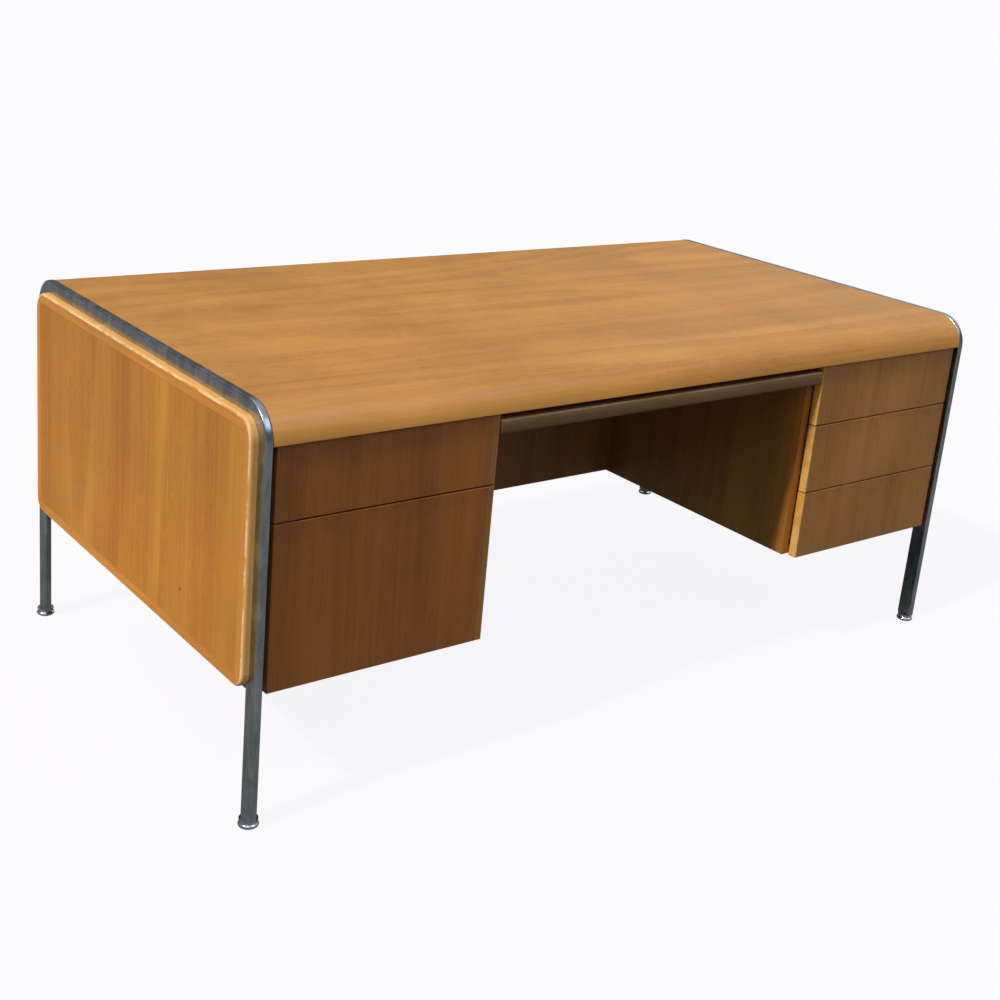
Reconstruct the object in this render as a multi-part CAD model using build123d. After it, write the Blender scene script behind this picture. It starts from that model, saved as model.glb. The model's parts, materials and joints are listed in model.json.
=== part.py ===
"""Double-pedestal desk in oak and chromed flat bar.

Millimetres. +Z is up, +X is the sitter's right and -Y is the sitter's side. The origin is on the floor
under the middle of the desk. The desk is symmetric about X = 0 but for its drawers: box over file on
the left, three drawers on the right and a shallow pencil drawer between the two cases.
"""
import os

from build123d import *

# Overall sizes
desk_height = 737.0
frame_span = 1756.0            # over the outer faces of the two frames
frame_depth = 943.0            # front to back over the bars

# Chromed frames and their glides
bar_thickness = 13.0           # across the desk
bar_width = 36.0               # in the plane of the frame
bend_radius = 64.0             # outside of the top corners
bar_edge_radius = 3.0
glide_height = 15.0
glide_radius = 18.0
glide_base_radius = 15.0
glide_rim_height = 3.5
glide_shoulder_radius = 16.5
glide_shoulder_height = 7.0
glide_waist_radius = 15.0
glide_waist_height = 9.5
glide_collar_height = 2.0
glide_stem_radius = 4.0
glide_stem_length = 22.0
glide_stem_clearance = 0.2
glide_socket_depth = 24.0

# Top
core_thickness = 30.0
reveal = 1.0                   # wood set back from the face of the bar
nose_flat = 0.5                # left at the foot of the quarter round
seam = 0.5                     # between the end of the top and the bar

# Side panels
panel_overlap = 11.0           # edging laid over the bar
edging_width = 22.0
edging_thickness = 14.0
edging_round = 6.0
edging_inner_radius = 6.0
panel_bottom_radius = 30.0
tongue_clearance = 0.3

# Cases
kneehole_width = 808.0
case_board = 18.0
case_bottom_height = 247.0     # from the floor
case_depth = 589.0
rail_width = 60.0
panel_step = 1.0               # side panels above the undersides of the cases

# Drawer fronts
front_setback = 6.0            # behind the face of the frames
front_thickness = 24.0
front_gap = 2.5                # between neighbouring fronts
front_rest_gap = 0.5           # behind a closed front
front_top_gap = 2.0            # under the nose
front_end_gap = 10.0           # to the leg
front_case_lap = 2.0           # laid over the edge of the case's inner side
front_drop = 2.0               # below the undersides of the cases
top_front_height = 128.0
finger_bevel = 6.0
front_edge_round = 1.5

# Drawer boxes
box_board = 12.0
box_bottom_board = 6.0
box_bottom_rise = 6.0
groove_depth = 6.0
groove_clearance = 0.2
box_lift = 25.0                # from the bottom of the front to the bottom of the box
box_headroom = 13.0            # from the top of the box to the top of the front
box_back_gap = 27.5            # to the case back

# Slides
slide_space = 13.0             # between case side and drawer box
slide_sheet = 1.2
slide_clearance = 0.8
slide_half_height = 22.5
slide_lip_gap = 1.8            # from a lip's edge to the next member's web
fixed_lip = 8.5
slide_end_gap = 7.5            # short of the back of the box

# Centre pencil drawer
centre_front_drop = 13.0       # under the nose
centre_front_height = 29.0
centre_front_top_round = 4.0
centre_front_round = 10.0
centre_box_height = 26.0
centre_box_lift = 3.0
centre_box_length = 420.0
centre_slide_half_height = 11.0
centre_slide_length = 400.0
tray_length = 500.0
tray_width = 84.0
tray_height = 13.0
tray_wall = 4.0
tray_bays = 4
tray_play = 0.5

# Hanging-file rails
file_rail_inset = 24.5         # from the side of the box to the middle of the rail
file_rail_thickness = 3.0
file_rail_height = 15.0
file_rail_drop = 8.0           # below the top of the box

# Frame screws
screw_radius = 2.5
screw_clearance = 0.2
screw_head_radius = 4.5
screw_head_height = 3.0
screw_bite = 8.0               # into the edging
screw_margin = 10.0            # above the case bottom
screw_nose_margin = 18.0       # under the nose
screw_head_gap = 1.5           # from the heads to the boards and slides behind them

overcut = 1.0                  # how far a cutter passes the face it opens

# Derived places
half_depth = frame_depth / 2
frame_outer = frame_span / 2
frame_inner = frame_outer - bar_thickness
top_face = desk_height - reveal
nose_radius = bend_radius - reveal
nose_front = half_depth - reveal
nose_inner = nose_front - nose_radius
nose_bottom = top_face - nose_radius
core_bottom = top_face - core_thickness
front_face = front_setback - half_depth
front_back = front_face + front_thickness
front_top = nose_bottom - front_top_gap
front_bottom = case_bottom_height - front_drop
panel_bottom = case_bottom_height + panel_step
top_front_bottom = front_top - top_front_height
centre_front_bottom = nose_bottom - centre_front_drop - centre_front_height
case_inner = kneehole_width / 2
case_front = front_back + front_rest_gap
case_back = case_front + case_depth
box_back = case_back - case_board - box_back_gap
screw_line = half_depth - bar_width + panel_overlap / 2
slide_front = screw_head_radius + screw_head_gap - screw_line
slide_length = box_back - slide_end_gap - slide_front
opening_near = case_inner + case_board
opening_far = frame_inner - case_board
front_near = opening_near - front_case_lap
front_far = frame_inner - front_end_gap


def block(x0, x1, y0, y1, z0, z1):
    """A box between two opposite corners, given in any order."""
    size = (abs(x1 - x0), abs(y1 - y0), abs(z1 - z0))
    return Pos((x0 + x1) / 2, (y0 + y1) / 2, (z0 + z1) / 2) * Box(*size)


def rounded_block(x0, x1, half_y, z0, z1, top_radius, bottom_radius=0.0):
    """A slab across X whose corners, seen from the side, are rounded."""
    slab = block(x0, x1, -half_y, half_y, z0, z1)
    levels = slab.edges().filter_by(Axis.X).group_by(Axis.Z)
    slab = fillet(levels[-1], top_radius)
    if bottom_radius:
        slab = fillet(slab.edges().filter_by(Axis.X).group_by(Axis.Z)[0], bottom_radius)
    return slab


def rod(x0, x1, y, z, radius):
    """A round rod along X."""
    middle = Pos((x0 + x1) / 2, y, z) * Rotation(0, 90, 0)
    return middle * Cylinder(radius, abs(x1 - x0))


def both_sides(name, right_piece):
    """The right-hand piece and its mirror image on the left."""
    return {f"{name}_right": right_piece, f"{name}_left": mirror(right_piece, about=Plane.YZ)}


def screw_places():
    """Y and Z of the frame screws in one leg pair."""
    levels = (
        case_bottom_height + case_board + screw_margin,
        top_front_bottom - front_gap / 2,
        nose_bottom - screw_nose_margin,
    )
    return [(end * screw_line, level) for end in (-1, 1) for level in levels]


def screw_holes():
    radius = screw_radius + screw_clearance
    far = frame_outer + screw_bite + screw_clearance
    return [rod(frame_inner - overcut, far, y, z, radius) for y, z in screw_places()]


def frame_screws():
    screws = []
    for y, z in screw_places():
        head = rod(frame_inner - screw_head_height, frame_inner, y, z, screw_head_radius)
        screws.append(head + rod(frame_inner, frame_outer + screw_bite, y, z, screw_radius))
    left = [mirror(screw, about=Plane.YZ) for screw in screws]
    return Compound(children=screws + left)


def frame():
    bar = rounded_block(frame_inner, frame_outer, half_depth, glide_height, desk_height, bend_radius)
    inside = rounded_block(
        frame_inner, frame_outer, half_depth - bar_width, glide_height, desk_height - bar_width,
        bend_radius - bar_width,
    )
    bar -= inside
    long_edges = bar.edges().filter_by(lambda edge: edge.bounding_box().size.X < 0.01)
    long_edges = long_edges.filter_by(lambda edge: edge.center().Z > glide_height + overcut)
    bar = fillet(long_edges, bar_edge_radius)
    for hole in screw_holes():
        bar -= hole
    for end in (-1, 1):
        middle = end * (half_depth - bar_width / 2)
        socket = Cylinder(glide_stem_radius + glide_stem_clearance, 2 * glide_socket_depth)
        bar -= Pos(frame_inner + bar_thickness / 2, middle, glide_height) * socket
    return bar


def foot_glide():
    """A flared round foot with a threaded stem, standing on the origin."""
    base = (glide_base_radius, 0)
    shoulder = (glide_shoulder_radius, glide_shoulder_height)
    collar = (glide_shoulder_radius, glide_height - glide_collar_height)
    with BuildPart() as part:
        with BuildSketch(Plane.XZ):
            with BuildLine():
                Line((0, 0), base)
                ThreePointArc(base, (glide_radius, glide_rim_height), shoulder)
                ThreePointArc(shoulder, (glide_waist_radius, glide_waist_height), collar)
                Polyline(collar, (glide_shoulder_radius, glide_height), (0, glide_height), (0, 0))
            make_face()
        revolve(axis=Axis.Z)
    stem = Pos(0, 0, glide_height + glide_stem_length / 2) * Cylinder(glide_stem_radius, glide_stem_length)
    return part.part + stem


def foot_glides():
    x = frame_inner + bar_thickness / 2
    y = half_depth - bar_width / 2
    corners = [(i * x, j * y) for i in (-1, 1) for j in (-1, 1)]
    return Compound(children=[Pos(cx, cy, 0) * foot_glide() for cx, cy in corners])


def side_edging():
    """Solid ring round the outer board, lapped over the bar and rounded outside."""
    half = half_depth - bar_width + panel_overlap
    top = desk_height - bar_width + panel_overlap
    face = frame_outer + edging_thickness
    outer = rounded_block(
        frame_outer, face, half, panel_bottom, top,
        bend_radius - bar_width + panel_overlap, panel_bottom_radius,
    )
    outer = fillet(outer.faces().sort_by(Axis.X)[-1].edges(), edging_round)
    ring = outer - panel_board()
    for hole in screw_holes():
        ring -= hole
    return ring


def panel_board():
    """The veneered board inside the edging."""
    half = half_depth - bar_width + panel_overlap - edging_width
    top = desk_height - bar_width + panel_overlap - edging_width
    face = frame_outer + edging_thickness
    return rounded_block(
        frame_outer, face, half, panel_bottom + edging_width, top,
        edging_inner_radius, edging_inner_radius,
    )


def side_panel():
    """The outer board with the tongue that fills the U of the frame."""
    inset = bar_width + tongue_clearance
    tongue = rounded_block(
        frame_inner, frame_outer, half_depth - inset, panel_bottom, desk_height - inset,
        bend_radius - inset,
    )
    return panel_board() + tongue


def top_core():
    end = frame_inner - seam
    return block(-end, end, -nose_inner, nose_inner, core_bottom, top_face)


def top_nose_front():
    """Quarter-round lipping, as thick as its radius."""
    end = frame_inner - seam
    nose = block(-end, end, -nose_front, -nose_inner, nose_bottom, top_face)
    corner = nose.edges().filter_by(Axis.X).group_by(Axis.Z)[-1].sort_by(Axis.Y)[0]
    return fillet(corner, nose_radius - nose_flat)


def case_side(x0, x1, y0):
    """A case side from y0 to the back, notched at the top front for the nose."""
    side = block(x0, x1, y0, case_back, case_bottom_height, core_bottom)
    notch = block(
        x0 - overcut, x1 + overcut, y0 - overcut, -nose_inner, nose_bottom, core_bottom + overcut,
    )
    return side - notch


def case_rails():
    """A front and a rear stretcher in each case, flat under the top."""
    rails = []
    for hand in (-1, 1):
        for y0 in (-nose_inner, case_back - case_board - rail_width):
            rails.append(block(
                hand * opening_near, hand * opening_far, y0, y0 + rail_width,
                core_bottom - case_board, core_bottom,
            ))
    return Compound(children=rails)


def channel(web_x, lip_x, half_height, y0, y1, z):
    """A C channel along Y with its web at web_x and its lips reaching to lip_x."""
    inward = slide_sheet if lip_x > web_x else -slide_sheet
    outer = block(web_x, lip_x, y0, y1, z - half_height, z + half_height)
    inner_half = half_height - slide_sheet
    return outer - block(web_x + inward, lip_x, y0, y1, z - inner_half, z + inner_half)


def slide_faces(near, far):
    """The two case faces that carry a drawer's slides, with the way towards the drawer."""
    toward = 1 if far > near else -1
    return ((near, toward), (far, -toward))


def members(near, far, web, lip, half_height, length, z):
    """A pair of slide members: web and lip are distances from the case faces."""
    return [
        channel(face + way * web, face + way * lip, half_height, slide_front, slide_front + length, z)
        for face, way in slide_faces(near, far)
    ]


def pedestal_slides(near, far, z):
    """Fixed, middle and drawer members of three-part slides, each nested in the one before."""
    step = slide_sheet + slide_clearance
    half = slide_half_height
    size = (slide_length, z)
    fixed = members(near, far, 0, fixed_lip, half, *size)
    middle_lip = slide_space - slide_sheet - slide_lip_gap
    middles = members(near, far, step, middle_lip, half - step, *size)
    runner_lip = step + slide_sheet + slide_lip_gap
    runners = members(near, far, slide_space, runner_lip, half - 2 * step, *size)
    return fixed, Compound(children=middles), Compound(children=runners)


def centre_slides(near, far, z):
    """Fixed and drawer members of two-part slides."""
    step = slide_sheet + slide_clearance
    half = centre_slide_half_height
    size = (centre_slide_length, z)
    fixed = members(near, far, 0, fixed_lip, half, *size)
    runners = members(near, far, slide_space, step, half - step, *size)
    return fixed, Compound(children=runners)


def drawer_front(x0, x1, z0, z1, grip_x=None):
    """An overlay front with eased face edges and a finger bevel behind its kneehole end."""
    board = block(x0, x1, front_face, front_back, z0, z1)
    if grip_x is not None:
        back_edge = board.edges().filter_by(Axis.Z).group_by(Axis.Y)[-1]
        board = chamfer(back_edge.sort_by(lambda edge: abs(edge.center().X - grip_x))[0], finger_bevel)
    return fillet(board.faces().sort_by(Axis.Y)[0].edges(), front_edge_round)


def drawer_box(x0, x1, y1, z0, z1):
    """Sides, ends and bottom of a drawer box behind its front, as three nodes' worth of boards."""
    low, high = min(x0, x1), max(x0, x1)
    board_z = z0 + box_bottom_rise
    play = groove_clearance
    groove = block(
        low + box_board - groove_depth, high - box_board + groove_depth,
        front_back + box_board - groove_depth, y1 - box_board + groove_depth,
        board_z - play, board_z + box_bottom_board + play,
    )
    sides = [
        block(x, x + box_board, front_back, y1, z0, z1) - groove
        for x in (low, high - box_board)
    ]
    ends = [
        block(low + box_board, high - box_board, y, y + box_board, z0, z1) - groove
        for y in (front_back, y1 - box_board)
    ]
    bottom = block(
        low + box_board - groove_depth + play, high - box_board + groove_depth - play,
        front_back + box_board - groove_depth + play, y1 - box_board + groove_depth - play,
        board_z, board_z + box_bottom_board,
    )
    return {"sides": Compound(children=sides), "ends": Compound(children=ends), "bottom": bottom}


def pedestal_drawer(hand, z0, z1):
    """One pedestal drawer whose front spans z0 to z1, with its slides."""
    near, far = hand * opening_near, hand * opening_far
    box_low = z0 + box_lift
    box_high = z1 - box_headroom
    box = drawer_box(near + hand * slide_space, far - hand * slide_space, box_back, box_low, box_high)
    fixed, middles, runners = pedestal_slides(near, far, (box_low + box_high) / 2)
    nodes = {
        "front": drawer_front(hand * front_near, hand * front_far, z0, z1, hand * front_near),
        **box,
        "runners": runners,
        "slide_middles": middles,
    }
    return nodes, fixed


def centre_drawer():
    """The shallow pencil drawer on two-part slides."""
    near, far = -case_inner, case_inner
    half_front = front_near - front_gap
    z0 = centre_front_bottom
    front = block(-half_front, half_front, front_face, front_back, z0, z0 + centre_front_height)
    lower = front.edges().filter_by(Axis.X).group_by(Axis.Z)[0].sort_by(Axis.Y)[0]
    front = fillet(lower, centre_front_round)
    upper = front.edges().filter_by(Axis.X).group_by(Axis.Z)[-1].sort_by(Axis.Y)[0]
    front = fillet(upper, centre_front_top_round)
    box_low = z0 + centre_box_lift
    box_high = box_low + centre_box_height
    box_end = front_back + centre_box_length
    box = drawer_box(near + slide_space, far - slide_space, box_end, box_low, box_high)
    fixed, runners = centre_slides(near, far, (box_low + box_high) / 2)
    return {"front": front, **box, "runners": runners}, fixed


def pencil_tray():
    """A moulded tray with bays, lying in the front of the centre drawer."""
    floor = centre_front_bottom + centre_box_lift + box_bottom_rise + box_bottom_board
    y0 = front_back + box_board + tray_play
    tray = block(-tray_length / 2, tray_length / 2, y0, y0 + tray_width, floor, floor + tray_height)
    pitch = (tray_width - tray_wall) / tray_bays
    for bay in range(tray_bays):
        near = y0 + tray_wall + bay * pitch
        tray -= block(
            tray_wall - tray_length / 2, tray_length / 2 - tray_wall, near, near + pitch - tray_wall,
            floor + tray_wall / 2, floor + tray_height + overcut,
        )
    return tray


def file_rails():
    """Two flat bars between the ends of the file drawer's box, to hang folders on."""
    inset = slide_space + box_board + file_rail_inset
    top = top_front_bottom - front_gap - box_headroom - file_rail_drop
    rails = [
        block(
            x - file_rail_thickness / 2, x + file_rail_thickness / 2,
            front_back + box_board, box_back - box_board,
            top - file_rail_height, top,
        )
        for x in (-opening_near - inset, -opening_far + inset)
    ]
    return Compound(children=rails)


def drawer_layout():
    """Hand, bottom and top of each pedestal drawer's front."""
    under_top = top_front_bottom - front_gap
    split = (front_bottom + under_top) / 2
    return {
        "left_box": (-1, top_front_bottom, front_top),
        "left_file": (-1, front_bottom, under_top),
        "right_top": (1, top_front_bottom, front_top),
        "right_middle": (1, split + front_gap / 2, under_top),
        "right_bottom": (1, front_bottom, split - front_gap / 2),
    }


def cases():
    nodes = {}
    outer_side = case_side(opening_far, frame_inner, slide_front)
    inner_side = case_side(case_inner, opening_near, case_front)
    bottom = block(
        opening_near, opening_far, case_front, case_back,
        case_bottom_height, case_bottom_height + case_board,
    )
    back = block(
        opening_near, opening_far, case_back - case_board, case_back,
        case_bottom_height + case_board, core_bottom,
    )
    nodes.update(both_sides("case_outer_side", outer_side))
    nodes.update(both_sides("case_inner_side", inner_side))
    nodes.update(both_sides("case_bottom", bottom))
    nodes.update(both_sides("case_back", back))
    nodes["case_rails"] = case_rails()
    nodes["modesty_panel"] = block(
        -case_inner, case_inner, case_back - case_board, case_back, case_bottom_height, core_bottom,
    )
    return nodes


def desk():
    nose = top_nose_front()
    nodes = {
        "foot_glides": foot_glides(),
        "frame_screws": frame_screws(),
        "top_core": top_core(),
        "top_nose_front": nose,
        "top_nose_rear": mirror(nose, about=Plane.XZ),
    }
    nodes.update(both_sides("frame", frame()))
    nodes.update(both_sides("side_panel", side_panel()))
    nodes.update(both_sides("side_edging", side_edging()))
    nodes.update(cases())

    drawers = {name: pedestal_drawer(*layout) for name, layout in drawer_layout().items()}
    drawers["centre"] = centre_drawer()
    fixed = []
    for name, (pieces, fixed_members) in drawers.items():
        nodes.update({f"{name}_{piece}": piece_shape for piece, piece_shape in pieces.items()})
        fixed += fixed_members
    nodes["case_slides"] = Compound(children=fixed)
    nodes["file_rails"] = file_rails()
    nodes["pencil_tray"] = pencil_tray()
    return nodes


os.makedirs("parts", exist_ok=True)
for node, shape in desk().items():
    export_step(shape, f"parts/{node}.step")
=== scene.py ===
"""Looks of the double-pedestal desk: finishes, small fittings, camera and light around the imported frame.

Metres. +Z is up, +X is the sitter's right and -Y is the sitter's side. Wood figure, wear and dirt are
worked out from a point's place on its piece at rest, so they stay on a drawer as it slides.
"""

import json
import math
import random
from collections import namedtuple

import bmesh
import bpy
from mathutils import Matrix, Vector


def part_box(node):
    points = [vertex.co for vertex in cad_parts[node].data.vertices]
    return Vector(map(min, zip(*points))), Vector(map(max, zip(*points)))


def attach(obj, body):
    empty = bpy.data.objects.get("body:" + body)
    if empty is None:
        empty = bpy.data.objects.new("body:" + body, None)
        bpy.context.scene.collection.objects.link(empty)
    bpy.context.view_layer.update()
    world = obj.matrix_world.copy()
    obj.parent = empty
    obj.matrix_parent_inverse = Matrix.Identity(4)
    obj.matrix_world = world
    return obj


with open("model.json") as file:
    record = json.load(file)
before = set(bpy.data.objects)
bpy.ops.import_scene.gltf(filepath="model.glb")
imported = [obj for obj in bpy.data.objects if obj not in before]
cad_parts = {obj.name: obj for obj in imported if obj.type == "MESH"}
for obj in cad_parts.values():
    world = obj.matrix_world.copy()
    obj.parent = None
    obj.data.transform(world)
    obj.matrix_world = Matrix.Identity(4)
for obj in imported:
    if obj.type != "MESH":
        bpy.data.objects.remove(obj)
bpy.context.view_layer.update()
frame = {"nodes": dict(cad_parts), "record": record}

SLOTS = {part["node"]: part["material_slot"] for part in frame["record"]["subparts"]}
DRAWERS = ("left_box", "left_file", "right_top", "right_middle", "right_bottom")


def srgb(red, green, blue):
    """A linear colour from 0-255 display values."""
    def linear(value):
        value /= 255
        return value / 12.92 if value <= 0.04045 else ((value + 0.055) / 1.055) ** 2.4
    return (linear(red), linear(green), linear(blue), 1.0)


# Nodes

class Graph:
    """Adds nodes to a tree. An input is a number, a colour or an earlier node's output."""

    def __init__(self, tree):
        self.tree = tree

    def feed(self, socket, value):
        """Links a socket to an output or sets it to a value."""
        if isinstance(value, bpy.types.NodeSocket):
            self.tree.links.new(value, socket)
        else:
            socket.default_value = value

    def node(self, kind, inputs, output=0, **settings):
        """One output of a new node. settings are the node's own properties."""
        made = self.tree.nodes.new("ShaderNode" + kind)
        for name, value in settings.items():
            setattr(made, name, value)
        for key, value in inputs.items():
            self.feed(made.inputs[key], value)
        return made.outputs[output]

    def math(self, operation, *values):
        return self.node("Math", dict(enumerate(values)), operation=operation)

    def times(self, value, by):
        return self.math("MULTIPLY", value, by)

    def minus(self, value, less):
        return self.math("SUBTRACT", value, less)

    def total(self, *weighted):
        """The sum of values, each given with its weight."""
        whole = 0.0
        for value, weight in weighted:
            whole = self.math("MULTIPLY_ADD", value, weight, whole)
        return whole

    def span(self, value, low, high, start=0.0, end=1.0):
        """start where value is low, end where it is high, and smooth between."""
        inputs = {"Value": value, "From Min": low, "From Max": high, "To Min": start, "To Max": end}
        return self.node("MapRange", inputs, interpolation_type="SMOOTHSTEP")

    def near(self, value, middle, reach):
        """1 where value is at middle, falling to 0 where it is reach away."""
        return self.span(self.math("ABSOLUTE", self.minus(value, middle)), 0.0, reach, 1.0, 0.0)

    def mix(self, share, first, second, blend="MIX"):
        """The first colour where share is 0 and the second where it is 1."""
        return self.node("Mix", {0: share, 6: first, 7: second}, 2, data_type="RGBA", blend_type=blend)

    def lay(self, colour, over, where, most, blend="MIX"):
        """A colour with another over it. where goes from 0, not at all, to 1, by the share most."""
        return self.mix(self.times(where, most), colour, over, blend)

    def scaled(self, colour, by):
        return self.node("VectorMath", {0: colour, "Scale": by}, operation="SCALE")

    def vector(self, x, y, z):
        return self.node("CombineXYZ", {0: x, 1: y, 2: z})

    def parts(self, vector):
        """X, Y and Z of a vector."""
        split = self.tree.nodes.new("ShaderNodeSeparateXYZ")
        self.feed(split.inputs[0], vector)
        return tuple(split.outputs)

    def moved(self, vector, by):
        return self.node("VectorMath", {0: vector, 1: by}, operation="ADD")

    def stretched(self, vector, rate):
        """A vector times one rate, or times a rate for each axis."""
        rates = rate if isinstance(rate, tuple) else (rate, rate, rate)
        return self.node("VectorMath", {0: vector, 1: rates}, operation="MULTIPLY")

    def noise(self, vector, rate, detail=2.0, roughness=0.5, distortion=0.0):
        """Noise from 0 to 1. rate is how many swells it has to a metre, alike or for each axis."""
        inputs = {
            "Vector": self.stretched(vector, rate), "Scale": 1.0, "Detail": detail,
            "Roughness": roughness, "Distortion": distortion,
        }
        return self.node("TexNoise", inputs)


class Finish(Graph):
    """The nodes of a new material."""

    def __init__(self, name):
        self.material = bpy.data.materials.new(name)
        self.material.use_nodes = True
        super().__init__(self.material.node_tree)
        self.shader = self.tree.nodes["Principled BSDF"]

    def position(self):
        """X, Y and Z of the point on the piece at rest, in metres."""
        return self.parts(self.node("TexCoord", {}, "Object"))

    def normal(self):
        """X, Y and Z of the way the surface faces at rest."""
        return self.parts(self.node("TexCoord", {}, "Normal"))

    def close(self, colour, roughness, height=None, depth=0.0, metallic=0.0):
        """Feeds the shader and gives the material. depth is the relief from height 0 to 1, in metres."""
        self.feed(self.shader.inputs["Base Color"], colour)
        self.feed(self.shader.inputs["Roughness"], roughness)
        self.shader.inputs["Metallic"].default_value = metallic
        if height is not None:
            bump = self.node("Bump", {"Height": height, "Distance": depth, "Strength": 1.0})
            self.feed(self.shader.inputs["Normal"], bump)
        return self.material


# Wood

# A cut of oak: its two tones, the axis that its grain runs along, how close its growth rings lie, how far
# along the tree it was taken and how rough its lacquer is. Cuts with one seed match where they meet.
Cut = namedtuple("Cut", "dark light along rings seed rough")

TOP = Cut(srgb(178, 118, 48), srgb(203, 143, 67), "X", rings=9.0, seed=0.4, rough=0.34)
NOSE = TOP._replace(rough=0.38)
SIDE = Cut(srgb(180, 110, 30), srgb(214, 148, 54), "Z", rings=6.0, seed=1.3, rough=0.38)
LEFT_FRONT = Cut(srgb(132, 74, 20), srgb(164, 98, 30), "Z", rings=5.0, seed=0.9, rough=0.46)
RIGHT_FRONT = Cut(srgb(154, 98, 40), srgb(188, 128, 60), "Z", rings=5.0, seed=2.6, rough=0.46)
CENTRE_FRONT = Cut(srgb(138, 100, 52), srgb(170, 128, 74), "X", rings=6.0, seed=1.4, rough=0.42)
CASE = Cut(srgb(134, 86, 28), srgb(168, 115, 42), "Z", rings=6.0, seed=1.9, rough=0.45)
BOX = Cut(srgb(160, 122, 78), srgb(206, 172, 124), "Y", rings=6.0, seed=0.0, rough=0.5)

EDGING_RINGS = 4.0
EDGING_ROUGH = 0.38
EDGING_SHIFT = (3.1, 0.7, 0.2)
EDGING_WIDTH = 0.022            # from the outside of the ring to the line where it meets the board
FRONT_STRIP = 0.014             # width of the solid strip at a drawer front's kneehole end
# CASE_STRIP also sets the width of the painted sunlight along a case side's front edge.
CASE_STRIP = 0.020              # width of the solid strip at a case side's front edge
DENT_PLACE = (-0.220, 0.338)    # Y and Z of the dent in a side panel
GRAIN_BEND = 0.02               # how far the grain strays from a straight line
OAK_RELIEF = 0.00012            # depth of the pores
BOX_SEED_STEP = 0.37            # from one box board's seed to the next
BOX_SEEDS = 17                  # how many seeds there are before the first comes again

PORE = srgb(132, 96, 66)
RUBBED = srgb(236, 198, 140)
SEAM = srgb(60, 34, 14)

# The tone and the pores of oak at a point, both from 0 to 1
Figure = namedtuple("Figure", "tone pore")


def grain_space(wood, place, along, seed):
    """The point with X along the grain and Y and Z across it, bent a little as real grain is."""
    order = {"X": (0, 1, 2), "Y": (1, 0, 2), "Z": (2, 0, 1)}[along]
    space = wood.vector(*(wood.math("ADD", place[axis], seed * (1.0 + axis)) for axis in order))
    drift = wood.noise(space, (1.1, 5.0, 5.0), detail=1.0)
    shift = wood.times(wood.minus(drift, 0.5), GRAIN_BEND)
    return wood.moved(space, wood.vector(0.0, shift, shift))


def oak_figure(wood, space, rings):
    """Growth rings, bands, streaks and fibres for the tone, and short pores between the rings."""
    def drawn_out(along, across, **settings):
        return wood.noise(space, (along, across, across), **settings)

    hill = drawn_out(0.45, 3.0, detail=1.0, roughness=0.4)
    ring = wood.math("FRACT", wood.times(hill, rings))
    ring = wood.times(wood.span(ring, 0.0, 0.8), wood.span(ring, 1.0, 0.8))
    band = drawn_out(0.7, 17.0, detail=2.0)
    streak = drawn_out(3.0, 150.0, detail=3.0, roughness=0.6)
    fibre = drawn_out(40.0, 1300.0, detail=2.0)
    tone = wood.total((band, 0.7), (ring, 0.14), (streak, 0.7), (fibre, 0.3))
    pore = drawn_out(70.0, 2100.0, detail=1.0)
    pore = wood.times(wood.span(pore, 0.58, 0.7), wood.span(ring, 0.75, 0.15, 0.3, 1.0))
    return Figure(wood.span(tone, 0.45, 1.35), pore)


def oak(name, cut):
    """A material's nodes so far, the point's place, and the figure and the colour of the cut there."""
    wood = Finish(name)
    place = wood.position()
    figure = oak_figure(wood, grain_space(wood, place, cut.along, cut.seed), cut.rings)
    return wood, place, figure, wood.mix(figure.tone, cut.dark, cut.light)


def lacquered(wood, place, colour, figure, rough, joint=None):
    """Pores, uneven shade, smudges and relief over a wood colour. A joint is a groove."""
    spot = wood.vector(*place)
    cloud = wood.noise(spot, 3.0, detail=3.0)
    colour = wood.scaled(colour, wood.span(cloud, 0.3, 0.7, 0.9, 1.07))
    colour = wood.lay(colour, PORE, figure.pore, 0.45, "MULTIPLY")
    smudge = wood.noise(spot, 14.0, detail=4.0, roughness=0.65)
    scuff = wood.noise(spot, 160.0, detail=3.0, roughness=0.7)
    smudged = wood.span(smudge, 0.35, 0.7, rough - 0.06, rough + 0.12)
    roughness = wood.total((smudged, 1.0), (wood.span(scuff, 0.6, 0.75), 0.12))
    height = wood.total((figure.tone, 0.3), (figure.pore, -1.0))
    if joint is not None:
        height = wood.total((height, 1.0), (joint, -2.0))
    return wood.close(colour, roughness, height, OAK_RELIEF)


def plain_oak(name, cut):
    """A lacquered board or veneer with no marks of its own."""
    wood, place, figure, colour = oak(name, cut)
    return lacquered(wood, place, colour, figure, cut.rough)


def nose(name):
    """Solid lipping of the top, rubbed where arms rest on its round, with painted light that makes the
    round darker on top and lighter as it turns down, and painted shade underneath.
    """
    wood, place, figure, colour = oak(name, NOSE)
    up = wood.normal()[2]
    # Painted light: darker where the round faces up, lighter where it turns down.
    colour = wood.scaled(colour, wood.span(up, 1.0, 0.3, 0.93, 1.2))
    rub = wood.noise(wood.vector(*place), (9.0, 60.0, 60.0), detail=5.0, roughness=0.7)
    arms = wood.times(wood.span(rub, 0.48, 0.7), wood.near(up, 0.7, 0.35))
    colour = wood.lay(colour, RUBBED, arms, 0.15)
    # Painted shade: darker on the underside.
    colour = wood.lay(colour, srgb(190, 150, 120), wood.span(up, 0.12, 0.0), 0.4, "MULTIPLY")
    return lacquered(wood, place, colour, figure, NOSE.rough)


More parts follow.
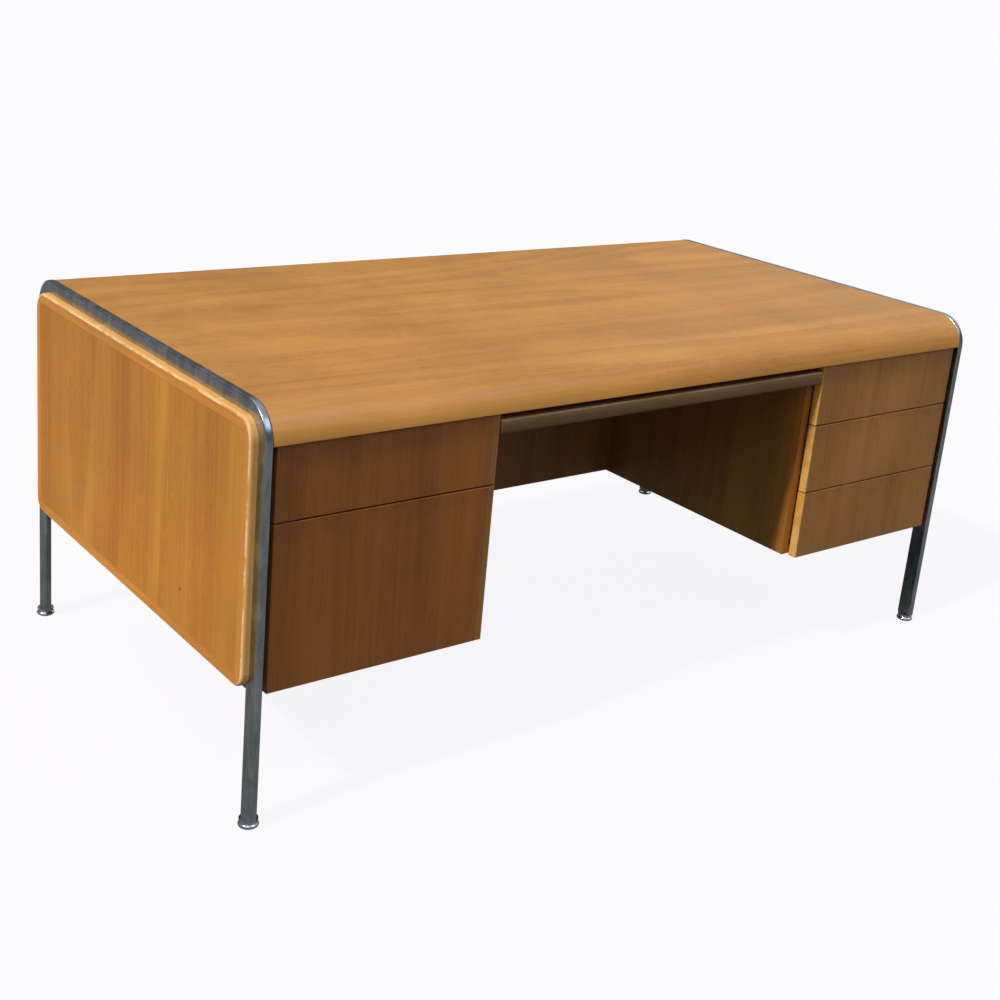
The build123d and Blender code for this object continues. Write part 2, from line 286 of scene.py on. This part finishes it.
def side_board(name, node):
    """Upright veneer of a side panel, with a dent and slow reddish and pale leaves."""
    wood, place, figure, colour = oak(name, SIDE)
    x, y, z = place
    leaf = wood.noise(wood.vector(0.3, y, z), (1.0, 5.0, 0.25), detail=2.0)
    reddish = wood.span(leaf, 0.35, 0.65, 0.5, 0.0)
    colour = wood.mix(reddish, colour, srgb(232, 205, 190), "MULTIPLY")
    low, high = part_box(node)
    outer = low.x if low.x < 0 else high.x
    spot = wood.vector(x, y, z)
    far = wood.node("VectorMath", {0: spot, 1: (outer, *DENT_PLACE)}, "Value", operation="DISTANCE")
    ragged = wood.total((wood.noise(spot, 300.0), 0.003), (far, 1.0))
    dent = wood.span(ragged, 0.003, 0.006, 1.0, 0.0)
    colour = wood.lay(colour, srgb(74, 38, 16), dent, 0.8)
    return lacquered(wood, place, colour, figure, SIDE.rough, dent)


def edging(name, node):
    """The ring round a side panel: grain follows each run and meets in mitres; its round is lighter with a
    painted highlight, and a bright line along its arris is partly wear and partly painted highlight.
    """
    wood = Finish(name)
    place = wood.position()
    x, y, z = place
    low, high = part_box(node)
    to_upright = wood.minus(high.y, wood.math("ABSOLUTE", y))
    to_level = wood.math("MINIMUM", wood.minus(z, low.z), wood.minus(high.z, z))
    upright = wood.math("LESS_THAN", to_upright, to_level)
    space = wood.mix(upright, wood.vector(y, x, z), wood.vector(z, x, y))
    figure = oak_figure(wood, wood.moved(space, EDGING_SHIFT), EDGING_RINGS)
    flat = wood.mix(figure.tone, srgb(196, 120, 38), srgb(222, 152, 62))
    # Painted highlight: the round is coloured lighter than the flat face.
    highlit_round = wood.mix(figure.tone, srgb(208, 142, 66), srgb(236, 184, 108))
    outward = wood.math("ABSOLUTE", wood.normal()[0])
    colour = wood.mix(wood.span(outward, 0.995, 0.7), flat, highlit_round)
    # Painted highlight and wear: a bright rubbed line where the flat turns into the round, and chips on
    # the flat.
    rub = wood.noise(wood.vector(*place), 16.0, detail=5.0, roughness=0.75)
    arris = wood.times(wood.span(outward, 0.999, 0.97), wood.span(outward, 0.55, 0.9))
    wear_and_highlight = wood.times(arris, wood.span(rub, 0.36, 0.56))
    chips = wood.times(wood.span(outward, 0.999, 0.9), wood.span(rub, 0.6, 0.68))
    colour = wood.lay(colour, srgb(246, 220, 172), wood.math("MAXIMUM", wear_and_highlight, chips), 0.8)
    mitre = wood.near(to_upright, to_level, 0.0006)
    line = wood.near(wood.math("MINIMUM", to_upright, to_level), EDGING_WIDTH, 0.0009)
    joint = wood.math("MAXIMUM", mitre, line)
    colour = wood.lay(colour, srgb(110, 62, 22), joint, 0.4)
    return lacquered(wood, place, colour, figure, EDGING_ROUGH, joint)


def drawer_face(name, node):
    """Veneered front with a solid strip at its kneehole end; the strip's end face is pale golden, partly
    its own colour and partly painted sunlight.
    """
    low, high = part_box(node)
    left = low.x < 0
    cut = LEFT_FRONT if left else RIGHT_FRONT
    wood, place, figure, colour = oak(name, cut)
    inward = wood.minus(wood.math("ABSOLUTE", place[0]), min(abs(low.x), abs(high.x)))
    strip = wood.span(inward, FRONT_STRIP - 0.0004, FRONT_STRIP, 1.0, 0.0)
    olive = wood.mix(figure.tone, srgb(134, 94, 40), srgb(174, 128, 62))
    colour = wood.lay(colour, olive, strip, 0.6 if left else 0.25)
    # Painted sunlight and solid wood: the end face of the strip is coloured pale golden.
    end = wood.times(strip, wood.span(wood.math("ABSOLUTE", wood.normal()[0]), 0.3, 0.7))
    colour = wood.mix(end, colour, wood.mix(figure.tone, srgb(196, 132, 44), srgb(226, 170, 78)))
    rub = wood.noise(wood.vector(*place), 30.0, detail=5.0, roughness=0.7)
    handled = wood.times(wood.span(inward, 0.004, 0.0), wood.span(rub, 0.46, 0.6))
    colour = wood.lay(colour, RUBBED, handled, 0.35)
    seam = wood.near(inward, FRONT_STRIP, 0.0005)
    colour = wood.lay(colour, SEAM, seam, 0.3)
    # Darker in patches along the top 5 cm of the front.
    top_darkening = wood.times(wood.span(wood.minus(high.z, place[2]), 0.05, 0.0), wood.span(rub, 0.35, 0.65))
    colour = wood.lay(colour, srgb(170, 160, 140), top_darkening, 0.3, "MULTIPLY")
    return lacquered(wood, place, colour, figure, cut.rough, seam)


def rail_face(name, node):
    """The centre drawer's long front: pale along its top round, partly wear and partly a painted
    highlight, with painted shade below it.
    """
    wood, place, figure, colour = oak(name, CENTRE_FRONT)
    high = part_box(node)[1]
    # Painted shade: darker below the top round.
    shade_below = wood.span(wood.minus(high.z, place[2]), 0.002, 0.02)
    colour = wood.lay(colour, srgb(176, 168, 156), shade_below, 0.8, "MULTIPLY")
    # Painted highlight and wear: the up-facing top round is paler in patches.
    rub = wood.noise(wood.vector(*place), (12.0, 60.0, 60.0), detail=5.0, roughness=0.7)
    rubbed = wood.times(wood.near(wood.normal()[2], 0.6, 0.55), wood.span(rub, 0.3, 0.6))
    colour = wood.lay(colour, srgb(214, 184, 146), rubbed, 0.6)
    return lacquered(wood, place, colour, figure, CENTRE_FRONT.rough)


def case_inner(name, node):
    """Kneehole side of a case: darker veneer with a golden strip at the front edge, partly a solid strip
    and partly painted sunlight.
    """
    wood, place, figure, colour = oak(name, CASE)
    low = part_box(node)[0]
    inward = wood.minus(place[1], low.y)
    # Painted sunlight and solid wood: a golden strip along the front edge.
    strip = wood.span(inward, CASE_STRIP - 0.0004, CASE_STRIP, 1.0, 0.0)
    golden_and_sunlit = wood.mix(figure.tone, srgb(200, 104, 34), srgb(230, 136, 56))
    colour = wood.lay(colour, golden_and_sunlit, strip, 0.25)
    seam = wood.near(inward, CASE_STRIP, 0.0006)
    colour = wood.lay(colour, SEAM, seam, 0.5)
    return lacquered(wood, place, colour, figure, CASE.rough, seam)


def box_board(name, node):
    """A drawer box's boards. The grain runs their long way, and each node is from another tree."""
    along = "X" if node.endswith("_ends") else "Y"
    seed = BOX_SEED_STEP * (sorted(SLOTS).index(node) % BOX_SEEDS)
    return plain_oak(name, BOX._replace(along=along, seed=seed))


# Metal, plastic and pressed board

METAL_RELIEF = 0.00004
PLASTIC_RELIEF = 0.00005
BOARD_RELIEF = 0.00008


def chrome(name, dull, bright, blur):
    """Bright plate gone hazy, with fine polishing lines, grime and a few pits."""
    metal = Finish(name)
    spot = metal.vector(*metal.position())
    haze = metal.noise(spot, (34.0, 34.0, 16.0), detail=5.0, roughness=0.68, distortion=0.4)
    lines = metal.noise(spot, (900.0, 60.0, 60.0), detail=3.0)
    pits = metal.span(metal.noise(spot, 420.0), 0.68, 0.76)
    wave = metal.noise(spot, 14.0)
    colour = metal.mix(metal.span(haze, 0.36, 0.66), dull, bright)
    colour = metal.mix(pits, colour, srgb(84, 80, 76))
    roughness = metal.total((metal.span(haze, 0.3, 0.72, blur, 1.7 * blur), 1.0), (pits, 0.3))
    height = metal.total((lines, 0.2), (wave, 9.0), (pits, -1.0))
    return metal.close(colour, roughness, height, METAL_RELIEF, metallic=1.0)


def zinc(name):
    """Dull plated steel with spangle and drawn lines along the slides."""
    metal = Finish(name)
    spot = metal.vector(*metal.position())
    cells = metal.node("TexVoronoi", {"Vector": metal.stretched(spot, 160.0), "Scale": 1.0}, "Color")
    spangle = metal.node("SeparateColor", {0: cells})
    drawn = metal.noise(spot, (700.0, 6.0, 700.0), detail=3.0)
    dirt = metal.span(metal.noise(spot, 30.0, detail=4.0), 0.45, 0.7)
    colour = metal.mix(spangle, srgb(172, 176, 179), srgb(206, 208, 208))
    colour = metal.lay(colour, srgb(110, 104, 92), dirt, 0.3)
    roughness = metal.total((metal.span(dirt, 0.0, 1.0, 0.30, 0.46), 1.0), (drawn, 0.2))
    return metal.close(colour, roughness, drawn, METAL_RELIEF, metallic=1.0)


def plastic(name):
    """Moulded black-brown plastic with a fine spark texture and rubbed patches."""
    moulded = Finish(name)
    spot = moulded.vector(*moulded.position())
    spark = moulded.noise(spot, 1800.0, detail=1.0)
    rubbed = moulded.noise(spot, 40.0, detail=4.0)
    colour = moulded.mix(moulded.span(rubbed, 0.4, 0.75), srgb(42, 39, 36), srgb(66, 61, 56))
    return moulded.close(colour, moulded.span(rubbed, 0.35, 0.7, 0.5, 0.66), spark, PLASTIC_RELIEF)


def hardboard(name):
    """Pressed thin board for drawer bottoms: short mixed fibres, flecks, old stains and a slight sheen."""
    board = Finish(name)
    spot = board.vector(*board.position())
    fibres = board.noise(spot, (260.0, 190.0, 260.0), detail=5.0, roughness=0.75, distortion=1.5)
    flecks = board.noise(spot, (60.0, 45.0, 60.0), detail=4.0, roughness=0.8, distortion=0.8)
    stain = board.noise(spot, 6.0, detail=4.0)
    colour = board.mix(board.span(fibres, 0.35, 0.65), srgb(118, 82, 48), srgb(156, 116, 74))
    colour = board.mix(board.span(flecks, 0.5, 0.7, 0.0, 0.4), colour, srgb(84, 54, 32))
    colour = board.mix(board.span(stain, 0.5, 0.75, 0.0, 0.5), colour, srgb(90, 60, 38))
    return board.close(colour, board.span(fibres, 0.3, 0.7, 0.52, 0.7), fibres, BOARD_RELIEF)


# Finishes of the nodes

SHARED = {
    "polished_chrome": chrome("worn_chrome", srgb(154, 165, 169), srgb(184, 194, 201), blur=0.18),
    "zinc_steel": zinc("worn_zinc"),
    "tray_plastic": plastic("moulded_tray"),
    "drawer_bottom_board": hardboard("pressed_board"),
}


def finish_for(node, slot):
    """The material of a CAD node."""
    name = f"{slot}-{node}"
    if node == "foot_glides":
        return chrome(name, srgb(196, 200, 204), srgb(232, 235, 238), blur=0.11)
    if node.startswith("top_nose"):
        return nose(name)
    if slot == "oak_top":
        return plain_oak(name, TOP)
    if slot == "oak_side_veneer":
        return side_board(name, node)
    if slot == "oak_edging":
        return edging(name, node)
    if node == "centre_front":
        return rail_face(name, node)
    if slot == "oak_drawer_front":
        return drawer_face(name, node)
    if node.startswith("case_inner_side"):
        return case_inner(name, node)
    if slot == "oak_case_veneer":
        return plain_oak(name, CASE)
    if slot == "drawer_box_wood":
        return box_board(name, node)
    return SHARED[slot]


def finish_nodes():
    for node, thing in frame["nodes"].items():
        thing.data.materials.clear()
        thing.data.materials.append(finish_for(node, SLOTS[node]))


# Screws that hold the drawer fronts

HEAD_RADIUS = 0.0045
HEAD_HEIGHT = 0.0026
SLOT_WIDTH = 0.0011
SLOT_FLOOR = 0.42               # of the head's height
CORE_WIDTH = 0.96               # of the head's width
BOX_BOARD = 0.012               # thickness of the board that the heads sit on
HEAD_SINK = 0.0002              # how far a head is drawn into the board
SCREW_SPREAD = 0.3              # of the board's length and height, from its middle
TURNED_STEPS = 24
WELD = 1e-6

# Radius and height along each outline, as shares of the head's
DOME = [(0, 0), (0.97, 0), (1, 0.1), (1, 0.3), (0.93, 0.56), (0.74, 0.82), (0.42, 0.97), (0, 1)]
DISC = [(0, 0), (1, 0), (1, 1), (0, 1)]


def turned_solid(outline, radius, height):
    """A closed solid of revolution about Z from an outline given as shares of radius and height."""
    made = bmesh.new()
    corners = [made.verts.new((share * radius, 0.0, rise * height)) for share, rise in outline]
    edges = [made.edges.new(pair) for pair in zip(corners, corners[1:])]
    bmesh.ops.spin(
        made, geom=corners + edges, cent=(0, 0, 0), axis=(0, 0, 1), angle=math.tau, steps=TURNED_STEPS,
    )
    bmesh.ops.remove_doubles(made, verts=made.verts, dist=WELD)
    bmesh.ops.recalc_face_normals(made, faces=made.faces)
    return made


def join(whole, piece):
    """Adds a piece to a whole."""
    carrier = bpy.data.meshes.new("carrier")
    piece.to_mesh(carrier)
    whole.from_mesh(carrier)
    bpy.data.meshes.remove(carrier)


def half_head(side):
    """The part of a domed head on one side of its slot, closed along the slot's wall."""
    half = turned_solid(DOME, HEAD_RADIUS, HEAD_HEIGHT)
    cut = bmesh.ops.bisect_plane(
        half, geom=list(half.verts) + list(half.edges) + list(half.faces),
        plane_co=(side * SLOT_WIDTH / 2, 0, 0), plane_no=(-side, 0, 0), clear_outer=True,
    )
    rim = [edge for edge in cut["geom_cut"] if isinstance(edge, bmesh.types.BMEdge)]
    bmesh.ops.contextual_create(half, geom=rim)
    return half


def slotted_head():
    """A round screw head about Z with a slot along Y."""
    head = bmesh.new()
    for side in (-1, 1):
        join(head, half_head(side))
    join(head, turned_solid(DISC, HEAD_RADIUS * CORE_WIDTH, HEAD_HEIGHT * SLOT_FLOOR))
    bmesh.ops.recalc_face_normals(head, faces=head.faces)
    return head


def add_front_screws(drawer, head, chance):
    """The four screws that hold a drawer's front, inside the front end of its box."""
    low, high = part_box(f"{drawer}_ends")
    middle = (low + high) / 2
    reach = (high - low) * SCREW_SPREAD
    gathered = bmesh.new()
    for across in (-1, 1):
        for up in (-1, 1):
            spot = (middle.x + across * reach.x, low.y + BOX_BOARD - HEAD_SINK, middle.z + up * reach.z)
            one = head.copy()
            turn = Matrix.Rotation(chance.uniform(0.0, math.pi), 4, "Z")
            one.transform(Matrix.Translation(spot) @ Matrix.Rotation(-math.pi / 2, 4, "X") @ turn)
            join(gathered, one)
    mesh = bpy.data.meshes.new(f"{drawer}_front_screws")
    gathered.to_mesh(mesh)
    mesh.materials.append(SHARED["zinc_steel"])
    screws = bpy.data.objects.new(f"{drawer}_front_screws", mesh)
    bpy.context.scene.collection.objects.link(screws)
    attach(screws, f"{drawer}_drawer")


def add_fittings():
    head = slotted_head()
    chance = random.Random(11)
    for drawer in DRAWERS:
        add_front_screws(drawer, head, chance)


# Camera, light and floor

BACKDROP = srgb(252, 250, 253)

SKY_LOW = (0.11, 0.115, 0.115, 1.0)
SKY_HIGH = (0.60, 0.64, 0.70, 1.0)
SKY_RISE = (0.25, 0.95)         # where the sky leaves its low colour and where it reaches the high one

# Direction, cosine of the angle from it at which the glow starts, and colour
GLOWS = (
    ((0.96, 0.20, 0.20), 0.72, (0.42, 0.42, 0.40, 1.0)),
    ((-0.45, -0.60, 0.66), 0.90, (0.9, 1.0, 1.2, 1.0)),
    ((0.47, -0.60, 0.65), 0.94, (1.2, 1.5, 2.3, 1.0)),
)

KEY_FROM = (-0.70, -0.08, 0.71)

FLOOR_HALF = 60.0
FLOOR_DARK = (0.15, 0.145, 0.135, 1.0)
FLOOR_LIGHT = (0.17, 0.165, 0.155, 1.0)
FLOOR_ROUGHNESS = 0.8
FLOOR_LIT = (0.055, 0.055, 0.055, 1.0)
FLOOR_GLOW = 0.93


def add_camera():
    data = bpy.data.cameras.new("camera")
    data.sensor_width = 36.0
    data.lens = 53.0377
    data.shift_x = 0.01448
    data.shift_y = -0.09865
    data.clip_end = 500.0
    camera = bpy.data.objects.new("camera", data)
    camera.location = (-1.93725, -2.33953, 1.42583)
    camera.rotation_euler = [math.radians(angle) for angle in (72.9955, -4.8473, -36.8285)]
    bpy.context.scene.collection.objects.link(camera)
    bpy.context.scene.camera = camera


def add_key_light():
    """A warm distant lamp, high on the left."""
    data = bpy.data.lights.new("key", "SUN")
    data.energy = 3.0
    data.angle = math.radians(4.0)
    data.color = (1.0, 0.96, 0.90)
    lamp = bpy.data.objects.new("key", data)
    lamp.rotation_euler = Vector(KEY_FROM).to_track_quat("Z", "Y").to_euler()
    bpy.context.scene.collection.objects.link(lamp)


def add_world():
    """A pale backdrop for the camera and a dim sky with broad glows for light and reflections."""
    world = bpy.data.worlds.new("studio")
    world.use_nodes = True
    bpy.context.scene.world = world
    world.node_tree.nodes.clear()
    studio = Graph(world.node_tree)
    toward = studio.node("TexCoord", {}, "Generated")
    sky = studio.mix(studio.span(studio.parts(toward)[2], *SKY_RISE), SKY_LOW, SKY_HIGH)
    for direction, start, colour in GLOWS:
        middle = tuple(Vector(direction).normalized())
        facing = studio.node("VectorMath", {0: toward, 1: middle}, "Value", operation="DOT_PRODUCT")
        sky = studio.mix(studio.span(facing, start, 1.0), sky, colour, "ADD")
    light = studio.node("Background", {"Color": sky})
    backdrop = studio.node("Background", {"Color": BACKDROP})
    camera_ray = studio.node("LightPath", {}, "Is Camera Ray")
    output = world.node_tree.nodes.new("ShaderNodeOutputWorld")
    studio.feed(output.inputs["Surface"], studio.node("MixShader", {0: camera_ray, 1: light, 2: backdrop}))


def floor_material():
    """Pale to the camera with faint shadows, and grey in reflections and bounced light."""
    floor = Finish("studio_floor")
    speck = floor.noise(floor.vector(*floor.position()), 30.0)
    floor.close(floor.mix(speck, FLOOR_DARK, FLOOR_LIGHT), FLOOR_ROUGHNESS)
    lit = floor.node("BsdfDiffuse", {"Color": FLOOR_LIT})
    glow = floor.node("Emission", {"Color": BACKDROP, "Strength": FLOOR_GLOW})
    pale = floor.node("AddShader", {0: lit, 1: glow})
    camera_ray = floor.node("LightPath", {}, "Is Camera Ray")
    choice = floor.node("MixShader", {0: camera_ray, 1: floor.shader.outputs[0], 2: pale})
    floor.feed(floor.tree.nodes["Material Output"].inputs["Surface"], choice)
    return floor.material


def add_floor():
    mesh = bpy.data.meshes.new("floor")
    corners = [(x * FLOOR_HALF, y * FLOOR_HALF, 0) for x, y in ((-1, -1), (1, -1), (1, 1), (-1, 1))]
    mesh.from_pydata(corners, [], [(0, 1, 2, 3)])
    mesh.materials.append(floor_material())
    floor = bpy.data.objects.new("floor", mesh)
    bpy.context.scene.collection.objects.link(floor)


def set_colours():
    view = bpy.context.scene.view_settings
    view.view_transform = "Standard"
    view.look = "None"
    view.exposure = 0.0
    view.gamma = 1.0


finish_nodes()
add_fittings()
add_camera()
add_world()
add_floor()
add_key_light()
set_colours()
